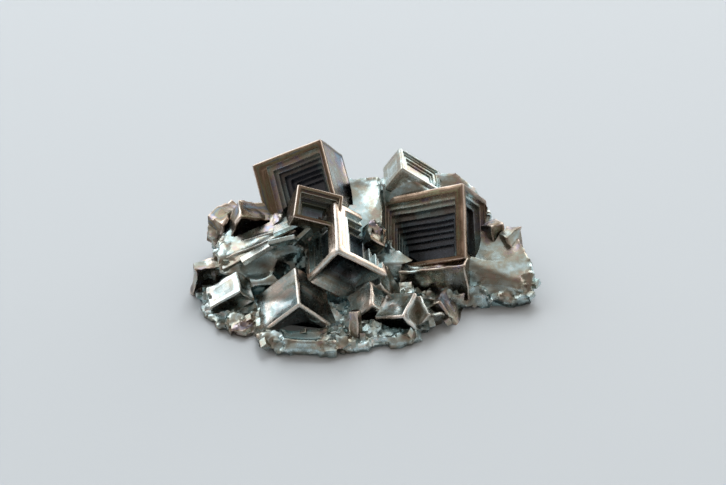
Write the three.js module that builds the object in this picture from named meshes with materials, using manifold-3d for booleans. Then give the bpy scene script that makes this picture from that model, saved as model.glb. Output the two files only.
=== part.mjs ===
// A bismuth hopper crystal cluster, about 45 mm across, in millimetres with +Z up.
// Skeletal cubes with stepped, sunken faces stand on a lumpy slab of the same metal.
// The whole cluster grew as one piece, so it is one solid, resting on a flat underside at z = 0.
import * as THREE from "three";
import { ConvexGeometry } from "three/addons/geometries/ConvexGeometry.js";
import { mergeVertices } from "three/addons/utils/BufferGeometryUtils.js";
import Module from "manifold-3d";

const wasm = await Module();
wasm.setup();

// Driving dimensions
const RIM = 1.0; // flat border round a sunken face
const TREAD = 0.62; // how far each terrace steps in
const RISE = 0.55; // how far each terrace steps down
const PIT_FLOOR = 0.9; // narrowest floor of a pit
const CLEARANCE = 0.05; // how far a pit's cutter reaches into the pit's own walls
const MOUTH = 0.4; // how far a pit's cutter reaches out of its mouth
const DISH_BEND = 0.6; // share of a dish's depth where its wall turns flatter
const FOOT = 0.7; // height where the slab is widest
const SKIN = 0.6; // thickness of the slab's flat underside, which no pit cuts through
const ROOT_DEPTH = -1; // how far the slab is built below the ground before it is cut flat
const GROUND = 30; // half the width of the block that cuts the underside flat
const CENTRE = new THREE.Vector3(-0.28, 0.21, 0); // middle of the layout, moved to the origin

const metal = new THREE.MeshStandardMaterial({ color: 0x6e6157, roughness: 0.32, metalness: 1 });

// The slab, as overlapping ledges: their outlines from above, the height of their tops,
// and how much their tops rise to the right and to the back.
const ledges = [
  // left
  {
    outline: [[-21.4, -3.2], [-20.2, -7.4], [-17.2, -10.8], [-9, -11.6], [-7, -4], [-10, 5], [-17.6, 4.6]],
    top: 1.4,
    lean: [0.03, 0.1],
  },
  // front
  {
    outline: [[-13.8, -11.4], [-11.5, -13.4], [-2, -14.2], [6, -12.6], [9, -9.2], [10, -2], [-9, -2]],
    top: 1.3,
    lean: [-0.02, 0.16],
  },
  // right
  {
    outline: [[9.5, -5.8], [21.2, -5.4], [22, -3], [21.4, 0.4], [18.8, 4], [11, 5]],
    top: 2.4,
    lean: [-0.08, 0.12],
  },
  // back
  {
    outline: [[-18.4, 4], [-14, 8.2], [-6, 11.4], [4, 12.8], [12, 11.4], [17.2, 6], [13, -2], [-12, -2]],
    top: 3.6,
    lean: [0, 0.02],
  },
];

// Broken pieces and smooth webs between the crystals: the hull of a few corners each.
const shards = [
  // smooth web between the back crystals
  [
    [-4, 10.6, 8.4], [2, 11, 8.4], [2.6, 6, 7.2], [2.6, 0.8, 6.2], [-2.6, 0.8, 6.3],
    [-4, 0, 1], [3, 0, 1], [3, 12.4, 1], [-5, 12.4, 1],
  ],
  // foot of the back peak
  [
    [4.9, 12.4, 9.2], [5, 9.9, 10.4], [10.4, 9.9, 7], [9.6, 12, 5.8], [1.8, 11.4, 6.6], [2.2, 9.4, 7], [9, 7.6, 7.4],
    [2, 6, 2], [10, 6, 2], [10.6, 12.8, 1], [1.4, 12.8, 1],
  ],
  // hump behind the big right cube
  [
    [9, 12, 8], [12.2, 12, 8.3], [15, 10, 7], [16.2, 7.6, 5.8], [8, 6, 3], [8, 13, 1], [15, 12, 1], [17.6, 7, 1],
  ],
  // right plate
  [
    [13.4, -2, 4.5], [22, -4.6, 2.8], [21.9, -1.2, 3.8], [20.4, 2.6, 4.8], [17.6, 3.6, 5.6], [13, 3, 5.8],
    [13, -5, 0.4], [21, -5, 0.4], [21.4, 0, 1], [14, 5, 1],
  ],
  // sharp fin beside the middle crystal
  [[0.9, 2.4, 8.7], [0.2, -0.6, 6.8], [2.9, 0.7, 6.4], [3, 3.4, 5.6], [0.4, 2, 5]],
  // left shoulder, under a long bright ridge
  [
    [-18.7, -1.6, 4.6], [-8.4, 1.6, 8.4], [-9.4, 4.6, 8], [-17.6, 3.6, 5.6], [-19.4, 1.4, 3],
    [-16.6, -5, 2.4], [-9.2, -4.4, 3], [-6, -2.6, 5], [-18, -3, 1], [-8, 6, 1], [-18, 5, 1],
  ],
  // curved lip in front of the front crystal
  [
    [-13.6, -11.8, 1.3], [-11, -13.6, 1.9], [-7.4, -14.2, 2.2], [-3.6, -14, 2], [-1, -12.6, 1.2],
    [-13.4, -12, 0], [-10.6, -14.2, 0], [-3.6, -14.6, 0], [-1, -13, 0], [-7.4, -12.6, 1.4],
  ],
  // left back chip
  [[-20.8, 4.8, 4.6], [-19.4, 6.4, 4.6], [-16, 7.6, 5.6], [-12.4, 7.8, 6], [-13, 3, 4], [-19.4, 3, 2], [-17, 7.6, 1], [-12, 8, 1]],
];

// Smooth hollows, cut from the webs and plates: middle and radii.
const hollows = [
  { at: [-7.4, -12.4, 3.2], radius: [4.6, 1.3, 2.6] },
  { at: [-0.6, 6.4, 12], radius: [3.4, 6.4, 5.2] },
  { at: [17.6, 0, 9.4], radius: [5.4, 4.2, 5.6] },
  { at: [-13.7, -3.6, 7.4], radius: [3.9, 2.9, 4.2] },
  { at: [-9.2, -3.2, 5.4], radius: [2.7, 1.7, 3.4] },
];

// The crystals, oldest first, so that the later ones stand in front of the earlier ones.
// at: the top corner. turn: degrees about x, then y, then z.
// size: lengths along the three edges that leave that corner.
// pits: which faces are sunken. A face is named by its axis and end, such as z0.
// gap: outline in x and y of a part that never grew, right through the crystal along z.
const crystals = [
  // back peak, a plate with a striped face
  {
    at: [4.9, 14.2, 10.5],
    turn: [-81, 54, -170],
    size: [3.2, 6.8, 4.6],
    pits: {
      x0: { steps: 3, rim: 0.6, rise: 0.35, in: [0.4, 0.4, 0.6, 0.6] },
      z0: { steps: 2, rim: 0.6, rise: 0.4, in: [0.4, 0.4, 0.6, 0.6] },
    },
  },
  // small crystals along the back
  {
    at: [-12, 8.6, 5.4],
    turn: [-134, -3, -58],
    size: [5, 4.6, 4.4],
    pits: { x0: { steps: 2, rim: 0.5 }, y0: { steps: 2, rim: 0.6 }, z0: { steps: 2, rim: 0.6 } },
  },
  {
    at: [-2.6, 12.6, 6.4],
    turn: [-136, -6, -84],
    size: [6, 5.6, 5.2],
    pits: { x0: { dish: 0.7, rim: 0.5 }, y0: { steps: 3, rim: 0.7 }, z0: { steps: 3, rim: 0.7 } },
  },
  {
    at: [4.6, 14, 5],
    turn: [-130, 8, -96],
    size: [5, 4.2, 4],
    pits: { x0: { steps: 1, rim: 0.5 }, y0: { dish: 0.6, rim: 0.4 }, z0: { steps: 2, rim: 0.6 } },
  },
  {
    at: [11.2, 12, 5.6],
    turn: [-132, 4, -106],
    size: [5.4, 5, 4.8],
    pits: { x0: { steps: 2, rim: 0.5 }, y0: { steps: 2, rim: 0.6 }, z0: { dish: 0.6, rim: 0.5 } },
  },
  { at: [15.8, 7, 4.6], turn: [-130, 2, -132], size: [4, 4, 3.8], pits: { x0: { dish: 0.5, rim: 0.4 } } },
  // left back chunk
  { at: [-18.9, 3.8, 6], turn: [-92, 2, 41], size: [4.6, 4.2, 2.8], pits: { z0: { dish: 0.7, rim: 0.4 } } },
  // large cube at the back left
  {
    at: [-5.6, 10.1, 15],
    turn: [-125, 25, -179],
    size: [10.1, 8.5, 8.6],
    pits: {
      y0: { steps: 6, rim: 1.35, in: [0.62, 0.1, 0.62, 0.62] },
      x0: { dish: 1.2, rim: 0.7 },
      x1: { dish: 1.2, rim: 1 },
      z0: { steps: 5, rim: 1.3 },
    },
  },
  // block with a dark front on the left shoulder
  { at: [-15.9, 2.2, 9], turn: [-90, 21, 13], size: [7, 4.4, 2.8], pits: { z0: { dish: 0.8, rim: 0.5 } } },
  // crystal at the upper end of the long ridge
  {
    at: [-8.8, 0.6, 9.6],
    turn: [-131, 2, 70],
    size: [5, 4.4, 4.6],
    pits: { x0: { steps: 2, rim: 0.4 }, y0: { dish: 0.8, rim: 0.4 } },
  },
  // left edge
  { at: [-21.5, -3, 4.3], turn: [-96, 9, 15], size: [5, 4.2, 2], pits: { z0: { dish: 0.6, rim: 0.4 } } },
  {
    at: [-16.1, -4.4, 5.2],
    turn: [-128, -9, 95],
    size: [4, 5, 6.8],
    pits: { x0: { dish: 0.5, rim: 0.4 }, y0: { dish: 0.8, rim: 0.4 }, z0: { dish: 0.8, rim: 0.4 } },
  },
  {
    at: [-16.5, -8.9, 2.9],
    turn: [-127, -10, 100],
    size: [4, 4, 4.4],
    pits: { x0: { dish: 0.4, rim: 0.4 }, z0: { dish: 0.5, rim: 0.4 } },
  },
  // chips at the back of the right plate
  { at: [16.6, 2.5, 6.4], turn: [-98, 9, 39], size: [2.4, 3.2, 2], pits: { z0: { steps: 1, rim: 0.4 } } },
  { at: [19.1, 1.4, 5.8], turn: [-105, -2, 51], size: [2.3, 3.6, 2.1], pits: { y0: { dish: 0.4, rim: 0.3 } } },
  // block below the big right cube
  {
    at: [12.9, -4.2, 5.8],
    turn: [-166, 17, 169],
    size: [8.9, 3.6, 5],
    pits: { z0: { dish: 0.5, rim: 0.5 }, y0: { dish: 0.4, rim: 0.4 } },
  },
  // big cube on the right
  {
    at: [13.1, 6, 11],
    turn: [-125, 23, 165],
    size: [11.8, 7.5, 10.2],
    pits: {
      y0: { steps: 9, rise: 0.5, rim: 1.15, in: [0.66, 0.1, 0.26, 0.16] },
      x0: { steps: 3, rim: 0.8 },
      z0: { steps: 5, rim: 1.2 },
    },
  },
  // small cube in front of the large back left one
  {
    at: [-8.3, 3.2, 13],
    turn: [-158, 18, 0],
    size: [6.2, 4.8, 5],
    pits: { z0: { steps: 3 }, y0: { steps: 2 } },
  },
  // small crystal between the middle one and the big right cube
  {
    at: [0.6, -0.6, 7.2],
    turn: [-147, -14, 88],
    size: [3.4, 3.9, 3.9],
    pits: { y0: { steps: 1, rim: 0.5 }, z0: { steps: 2, rim: 0.5 } },
  },
  // middle crystal, a roof with a ridge running back
  {
    at: [-3.2, -6.3, 10],
    turn: [-143, -6, 93],
    size: [8.9, 8.3, 7],
    gap: [[1.5, 9], [1.5, 7.6], [9.5, 3.7], [9.5, 9]],
    pits: { x0: { dish: 1.3, rim: 0.6 }, y0: { steps: 5, rim: 1.1 }, z0: { steps: 5, rim: 1.1 } },
  },
  // front crystal, the same way up
  {
    at: [-8, -11.1, 5.5],
    turn: [-134, -3, 96],
    size: [6.9, 7.8, 7.9],
    pits: { x0: { dish: 1.2, rim: 0.7 }, y0: { dish: 0.9, rim: 0.5 }, z0: { dish: 1.2, rim: 0.8 } },
  },
  // front right jumble
  {
    at: [2.3, -6.4, 4.6],
    turn: [-125, 4, 80],
    size: [4, 4.4, 4.4],
    pits: { x0: { dish: 0.5, rim: 0.4 }, z0: { dish: 0.5, rim: 0.4 } },
  },
  {
    at: [1.3, -9.9, 4.2],
    turn: [-135, -13, 98],
    size: [3.8, 4.4, 4.2],
    pits: { x0: { dish: 0.6, rim: 0.3 }, z0: { steps: 1, rim: 0.5 } },
  },
  {
    at: [5.2, -11.2, 3.8],
    turn: [-116, -7, 68],
    size: [4, 4, 4.6],
    pits: { x0: { dish: 0.6, rim: 0.3 }, y0: { dish: 0.5, rim: 0.3 } },
  },
  { at: [8.2, -10.4, 3.2], turn: [-149, -16, 115], size: [3, 4.7, 3.3], pits: { z0: { steps: 1, rim: 0.5 } } },
  { at: [9.8, -7.8, 3], turn: [-130, 6, 70], size: [4, 4, 4], pits: { x0: { dish: 0.4, rim: 0.4 } } },
  { at: [-0.7, -11.6, 4.4], turn: [-100, 18, 66], size: [1.3, 3.8, 1.2], pits: {} },
  // blades between the middle crystal and the long ridge
  { at: [-8.2, -0.3, 9.6], turn: [-118, 61, -26], size: [0.6, 3.8, 3.4], pits: {} },
  { at: [-7, -0.2, 9], turn: [-139, 15, -58], size: [0.6, 3.2, 3.2], pits: {} },
  { at: [-5.8, 0.8, 9], turn: [-112, 34, 1], size: [0.6, 3, 3], pits: {} },
  { at: [-8.8, -1.5, 8.6], turn: [-160, 30, -82], size: [0.6, 3.6, 3], pits: {} },
  { at: [-6.5, 2.1, 9.9], turn: [140, 45, -168], size: [0.5, 2.6, 3], pits: {} },
];

// Grains: small cubes that stud the rough edge of the slab, every one turned its own way.
const grains = { count: 30, seed: 5, size: [1, 2.3], middle: [0, -1], reach: [20.6, 12.4], band: 0.16, top: 2.2 };

// A repeatable series of numbers from 0 to 1.
function series(seed) {
  let state = seed;
  return () => {
    state = (Math.imul(state, 1664525) + 1013904223) >>> 0;
    return state / 4294967296;
  };
}

// A closed three.js geometry as a manifold-3d solid, placed by a matrix.
function solidOf(geometry, matrix = new THREE.Matrix4()) {
  const bare = geometry.clone().applyMatrix4(matrix);
  bare.deleteAttribute("normal");
  bare.deleteAttribute("uv");
  const merged = mergeVertices(bare, 1e-4);
  return new wasm.Manifold(
    new wasm.Mesh({
      numProp: 3,
      vertProperties: new Float32Array(merged.attributes.position.array),
      triVerts: new Uint32Array(merged.index.array),
    }),
  );
}

function hullOf(points, matrix) {
  return solidOf(new ConvexGeometry(points), matrix);
}

// The box between two corners, in a crystal's own axes, placed by a matrix.
function boxOf(low, high, matrix) {
  const size = new THREE.Vector3().subVectors(high, low);
  const middle = new THREE.Vector3().addVectors(low, high).multiplyScalar(0.5);
  const box = new THREE.BoxGeometry(size.x, size.y, size.z).translate(middle.x, middle.y, middle.z);
  return solidOf(box, matrix);
}

function placeOf({ at, turn }) {
  const [x, y, z] = turn.map(THREE.MathUtils.degToRad);
  const rotation = new THREE.Euler(x, y, z, "ZYX");
  return new THREE.Matrix4().makeRotationFromEuler(rotation).setPosition(...at);
}

// The rectangle of a face, drawn in by a distance on each side, at a depth below that face.
// Sides are the low and high side of the next axis, then of the axis after it.
function inset(size, face, sides, depth) {
  const axis = "xyz".indexOf(face[0]);
  const across = (axis + 1) % 3;
  const along = (axis + 2) % 3;
  const low = new THREE.Vector3();
  const high = new THREE.Vector3();
  const level = face[1] === "0" ? depth : size[axis] - depth;
  low.setComponent(axis, level).setComponent(across, sides[0]).setComponent(along, sides[2]);
  high.setComponent(axis, level);
  high.setComponent(across, size[across] - sides[1]);
  high.setComponent(along, size[along] - sides[3]);
  const span = [across, along].map((k) => high.getComponent(k) - low.getComponent(k));
  return { low, high, across, along, narrow: Math.min(...span) };
}

// A face sunk in terraces: one box for each step down.
function terraces(size, face, pit, extra, matrix) {
  const rim = pit.rim ?? RIM;
  const rise = pit.rise ?? RISE;
  const treads = pit.in ?? [TREAD, TREAD, TREAD, TREAD];
  const boxes = [];
  for (let step = 0; step < pit.steps; step++) {
    const sides = treads.map((tread) => rim + tread * step - extra);
    const mouth = inset(size, face, sides, -MOUTH);
    const floor = inset(size, face, sides, rise * (step + 1) + extra);
    if (floor.narrow < PIT_FLOOR) break;
    const low = mouth.low.clone().min(floor.low);
    const high = mouth.high.clone().max(floor.high);
    boxes.push(boxOf(low, high, matrix));
  }
  return boxes;
}

// A face sunk as a smooth dish: the hull of rectangles that shrink on the way down.
function dish(size, face, pit, extra, matrix) {
  const rim = pit.rim ?? RIM;
  const corners = [];
  const levels = [
    [-MOUTH, rim],
    [0, rim],
    [pit.dish * DISH_BEND, rim + pit.dish * 0.7],
    [pit.dish, rim + pit.dish * 1.7],
  ];
  for (const [depth, side] of levels) {
    const border = side - extra;
    const { low, high, across, along, narrow } = inset(size, face, [border, border, border, border], depth + extra);
    if (narrow < PIT_FLOOR) break;
    for (const a of [low, high]) {
      for (const b of [low, high]) {
        const corner = low.clone();
        corner.setComponent(across, a.getComponent(across)).setComponent(along, b.getComponent(along));
        corners.push(corner);
      }
    }
  }
  return [hullOf(corners, matrix)];
}

function pitCutters(crystal, face, extra, matrix) {
  const pit = crystal.pits[face];
  const shape = pit.dish ? dish : terraces;
  return shape(crystal.size, face, pit, extra, matrix);
}

// The prism over a crystal's gap, a little longer than the crystal at both ends.
function gapOf({ gap, size }, matrix) {
  const ends = [-MOUTH, size[2] + MOUTH];
  const corners = gap.flatMap(([x, y]) => ends.map((z) => new THREE.Vector3(x, y, z)));
  return hullOf(corners, matrix);
}

// Grows one crystal onto the cluster: its pits are cleared first, then its skeleton is joined.
function grow(cluster, crystal) {
  const matrix = placeOf(crystal);
  const gap = crystal.gap ? gapOf(crystal, matrix) : null;
  let skeleton = boxOf(new THREE.Vector3(), new THREE.Vector3(...crystal.size), matrix);
  let cleared = cluster;
  for (const face of Object.keys(crystal.pits)) {
    for (const cutter of pitCutters(crystal, face, 0, matrix)) skeleton = skeleton.subtract(cutter);
    for (const cutter of pitCutters(crystal, face, CLEARANCE, matrix)) {
      cleared = cleared.subtract(gap ? cutter.subtract(gap) : cutter);
    }
  }
  return cleared.add(gap ? skeleton.subtract(gap) : skeleton);
}

// A ledge of the slab: widest at its foot, drawn in a little at its leaning top.
function ledge({ outline, top, lean }) {
  const middle = new THREE.Vector3();
  for (const [x, y] of outline) middle.add(new THREE.Vector3(x, y, 0));
  middle.divideScalar(outline.length);
  const corners = [];
  for (const [x, y] of outline) {
    const corner = new THREE.Vector3(x, y, 0);
    const under = corner.clone().lerp(middle, 0.14).setZ(ROOT_DEPTH);
    const over = corner.clone().lerp(middle, 0.12);
    over.z = top + lean[0] * (over.x - middle.x) + lean[1] * (over.y - middle.y);
    corners.push(under, corner.clone().setZ(FOOT), over);
  }
  return hullOf(corners);
}

function shard(corners) {
  return hullOf(corners.map((corner) => new THREE.Vector3(...corner)));
}

function hollow({ at, radius }) {
  const matrix = new THREE.Matrix4().makeTranslation(...at).scale(new THREE.Vector3(...radius));
  return solidOf(new THREE.IcosahedronGeometry(1, 3), matrix);
}

function grainList({ count, seed, size, middle, reach, band, top }) {
  const next = series(seed);
  const between = (low, high) => low + (high - low) * next();
  return Array.from({ length: count }, (_, i) => {
    const angle = (2 * Math.PI * (i + between(-0.4, 0.4))) / count;
    const out = 1 - band * next();
    const at = [
      middle[0] + reach[0] * out * Math.cos(angle),
      middle[1] + reach[1] * out * Math.sin(angle),
      between(0.3, 1) * top,
    ];
    const turn = [between(-60, 60), between(-60, 60), between(-180, 180)];
    const edge = between(...size);
    return { at, turn, size: [edge, edge * between(0.7, 1), edge * between(0.7, 1)], pits: {} };
  });
}

function buildCluster() {
  const slab = ledges.map(ledge).reduce((all, one) => all.add(one));
  const skin = slab.subtract(
    boxOf(new THREE.Vector3(-GROUND, -GROUND, SKIN), new THREE.Vector3(GROUND, GROUND, GROUND), new THREE.Matrix4()),
  );
  let cluster = shards.map(shard).reduce((all, one) => all.add(one), slab);
  for (const grain of grainList(grains)) cluster = grow(cluster, grain);
  for (const one of hollows) cluster = cluster.subtract(hollow(one));
  for (const crystal of crystals) cluster = grow(cluster, crystal);
  const ground = boxOf(
    new THREE.Vector3(-GROUND, -GROUND, -GROUND),
    new THREE.Vector3(GROUND, GROUND, 0),
    new THREE.Matrix4(),
  );
  cluster = cluster.add(skin).subtract(ground);
  // Only the metal that hangs together is kept, without crumbs and sealed bubbles.
  return cluster.decompose().sort((a, b) => b.volume() - a.volume())[0];
}

function geometryOf(solid) {
  const { vertProperties, numProp, triVerts } = solid.getMesh();
  const positions = new Float32Array((vertProperties.length / numProp) * 3);
  for (let i = 0; i < positions.length / 3; i++) {
    positions.set(vertProperties.subarray(i * numProp, i * numProp + 3), i * 3);
  }
  const geometry = new THREE.BufferGeometry();
  geometry.setAttribute("position", new THREE.BufferAttribute(positions, 3));
  geometry.setIndex(new THREE.BufferAttribute(triVerts, 1));
  geometry.translate(-CENTRE.x, -CENTRE.y, -CENTRE.z);
  geometry.computeVertexNormals();
  return geometry;
}

const cluster = new THREE.Mesh(geometryOf(buildCluster()), metal);
cluster.name = "bismuth_cluster";

const root = new THREE.Group();
root.add(cluster);
export default root;
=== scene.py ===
# %% [markdown]
# # A bismuth hopper crystal cluster
#
# Bismuth is a brittle, silvery metal. When it cools slowly from the melt it grows cubes whose edges
# run ahead of their faces, so that each face is left behind as a pit with square terraces: a hopper
# crystal. Air then lays a film of oxide on the hot metal, and the film's thickness decides whether
# it looks silver, bronze, teal or blue.
#
# The object here is a small lump, 45 mm across: some thirty crystals, and a crowd of much smaller
# ones, on a slab of the same metal. The imported CAD part already has the layout and the size. This
# script grows a finer skin over the same layout, with bevelled edges, wavy terraces and small
# grains, and gives it its oxide colours, with painted shade in its pits and crevices and a painted
# highlight along its edges.

# %% Load the imported part
import math

import bmesh
import bpy
import numpy as np
from mathutils import Euler, Matrix, Quaternion, Vector, kdtree, noise


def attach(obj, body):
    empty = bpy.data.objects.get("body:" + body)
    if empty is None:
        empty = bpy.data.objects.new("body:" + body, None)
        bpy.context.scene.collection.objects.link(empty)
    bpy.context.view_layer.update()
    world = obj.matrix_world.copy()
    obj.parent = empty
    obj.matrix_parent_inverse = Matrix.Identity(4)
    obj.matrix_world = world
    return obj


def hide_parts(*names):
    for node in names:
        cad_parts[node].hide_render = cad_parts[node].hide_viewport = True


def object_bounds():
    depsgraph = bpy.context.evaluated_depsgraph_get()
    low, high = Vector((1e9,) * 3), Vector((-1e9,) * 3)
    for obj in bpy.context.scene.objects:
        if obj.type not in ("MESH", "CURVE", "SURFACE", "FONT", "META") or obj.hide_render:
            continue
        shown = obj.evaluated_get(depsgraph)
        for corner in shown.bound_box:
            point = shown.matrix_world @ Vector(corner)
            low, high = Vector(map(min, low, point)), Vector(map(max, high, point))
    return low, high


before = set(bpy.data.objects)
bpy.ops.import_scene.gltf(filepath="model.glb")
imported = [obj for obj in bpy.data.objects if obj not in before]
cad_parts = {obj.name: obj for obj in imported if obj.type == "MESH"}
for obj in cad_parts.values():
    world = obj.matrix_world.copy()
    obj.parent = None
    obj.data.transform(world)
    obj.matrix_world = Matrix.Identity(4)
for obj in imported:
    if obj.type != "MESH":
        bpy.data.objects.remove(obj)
cad_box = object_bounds()
MM = 0.001  # one millimetre in Blender's metres
print("CAD box in mm:", [[round(x / MM, 2) for x in corner] for corner in cad_box])

# %% [markdown]
# ## Camera
#
# The cluster is seen from 40 degrees above the table and from close by, as a small thing in the hand
# is looked at. A long lens keeps the cubes from spreading apart towards the edges of the picture.

# %% Camera
HEIGHT_ANGLE = math.radians(40)
DISTANCE = 250 * MM
SEEN_WIDTH = 93 * MM  # width of the picture at the cluster
SENSOR = 36  # mm, as camera sensors are given
ON_FLOOR = Vector((-0.22, -0.21, 0)) * MM  # the point of the floor under the aim
AIM_RISE = 4.8 * MM  # from there up the picture

toward_camera = Vector((0, -math.cos(HEIGHT_ANGLE), math.sin(HEIGHT_ANGLE)))
picture_up = Vector((0, math.sin(HEIGHT_ANGLE), math.cos(HEIGHT_ANGLE)))
aim = ON_FLOOR + picture_up * AIM_RISE
camera_data = bpy.data.cameras.new("camera")
camera_data.sensor_width = SENSOR
camera_data.lens = SENSOR * DISTANCE / SEEN_WIDTH
camera_data.clip_start = 0.01
camera = bpy.data.objects.new("camera", camera_data)
bpy.context.scene.collection.objects.link(camera)
camera.location = aim + toward_camera * DISTANCE
camera.rotation_euler = (-toward_camera).to_track_quat("-Z", "Y").to_euler()
bpy.context.scene.camera = camera
print("lens in mm:", round(camera_data.lens, 1))

# %% [markdown]
# ## The layout, in millimetres
#
# Blender's unit is the metre, but a cluster this small is easier to think of in millimetres. All
# lengths are in millimetres up to the cell that turns the finished mesh into metres.
#
# The cluster is described as a crystal grower would: first the slab that froze against the pot, as
# overlapping ledges; then broken pieces and smooth webs, each given by a few corners; then smooth
# hollows where liquid metal drained away; and last the crystals, oldest first.
#
# A ledge has an outline seen from above, the height of its top, and how much the top rises to the
# right and to the back. A shard is the simplest closed form round its corners, a convex hull. A
# hollow is a ball, longer one way than another, that is cut away.

# %% The slab
ledges = [
    # left
    dict(
        outline=[
            (-21.4, -3.2), (-20.2, -7.4), (-17.2, -10.8), (-9, -11.6),
            (-7, -4), (-10, 5), (-17.6, 4.6),
        ],
        top=1.4,
        lean=(0.03, 0.1),
    ),
    # front
    dict(
        outline=[(-13.8, -11.4), (-11.5, -13.4), (-2, -14.2), (6, -12.6), (9, -9.2), (10, -2), (-9, -2)],
        top=1.3,
        lean=(-0.02, 0.16),
    ),
    # right
    dict(
        outline=[(9.5, -5.8), (21.2, -5.4), (22, -3), (21.4, 0.4), (18.8, 4), (11, 5)],
        top=2.4,
        lean=(-0.08, 0.12),
    ),
    # back
    dict(
        outline=[
            (-18.4, 4), (-14, 8.2), (-6, 11.4), (4, 12.8),
            (12, 11.4), (17.2, 6), (13, -2), (-12, -2),
        ],
        top=3.6,
        lean=(0, 0.02),
    ),
]
print("ledges:", len(ledges))

# %% Shards and webs
shards = [
    # smooth web between the back crystals
    [
        (-4, 10.6, 8.4), (2, 11, 8.4), (2.6, 6, 7.2), (2.6, 0.8, 6.2), (-2.6, 0.8, 6.3),
        (-4, 0, 1), (3, 0, 1), (3, 12.4, 1), (-5, 12.4, 1),
    ],
    # foot of the back peak
    [
        (4.9, 12.4, 9.2), (5, 9.9, 10.4), (10.4, 9.9, 7), (9.6, 12, 5.8), (1.8, 11.4, 6.6),
        (2.2, 9.4, 7), (9, 7.6, 7.4),
        (2, 6, 2), (10, 6, 2), (10.6, 12.8, 1), (1.4, 12.8, 1),
    ],
    # hump behind the big right cube
    [
        (9, 12, 8), (12.2, 12, 8.3), (15, 10, 7), (16.2, 7.6, 5.8),
        (8, 6, 3), (8, 13, 1), (15, 12, 1), (17.6, 7, 1),
    ],
    # right plate
    [
        (13.4, -2, 4.5), (22, -4.6, 2.8), (21.9, -1.2, 3.8), (20.4, 2.6, 4.8),
        (17.6, 3.6, 5.6), (13, 3, 5.8),
        (13, -5, 0.4), (21, -5, 0.4), (21.4, 0, 1), (14, 5, 1),
    ],
    # sharp fin beside the middle crystal
    [(0.9, 2.4, 8.7), (0.2, -0.6, 6.8), (2.9, 0.7, 6.4), (3, 3.4, 5.6), (0.4, 2, 5)],
    # left shoulder, under a long bright ridge
    [
        (-18.7, -1.6, 4.6), (-8.4, 1.6, 8.4), (-9.4, 4.6, 8), (-17.6, 3.6, 5.6), (-19.4, 1.4, 3),
        (-16.6, -5, 2.4), (-9.2, -4.4, 3), (-6, -2.6, 5), (-18, -3, 1), (-8, 6, 1), (-18, 5, 1),
    ],
    # curved lip in front of the front crystal
    [
        (-13.6, -11.8, 1.3), (-11, -13.6, 1.9), (-7.4, -14.2, 2.2), (-3.6, -14, 2), (-1, -12.6, 1.2),
        (-13.4, -12, 0), (-10.6, -14.2, 0), (-3.6, -14.6, 0), (-1, -13, 0), (-7.4, -12.6, 1.4),
    ],
    # left back chip
    [
        (-20.8, 4.8, 4.6), (-19.4, 6.4, 4.6), (-16, 7.6, 5.6), (-12.4, 7.8, 6),
        (-13, 3, 4), (-19.4, 3, 2), (-17, 7.6, 1), (-12, 8, 1),
    ],
]
print("shards and webs:", len(shards))

# %% Hollows
hollows = [
    dict(at=(-7.4, -12.4, 3.2), radius=(4.6, 1.3, 2.6)),
    dict(at=(-0.6, 6.4, 14.4), radius=(6.4, 9.6, 7.6)),
    dict(at=(17.6, 0, 9.4), radius=(8, 6.5, 5.4)),
    dict(at=(-13.7, -3.6, 7.4), radius=(3.9, 2.9, 4.2)),
    dict(at=(-9.2, -3.2, 5.4), radius=(2.7, 1.7, 3.4)),
]
print("hollows:", len(hollows))
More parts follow.
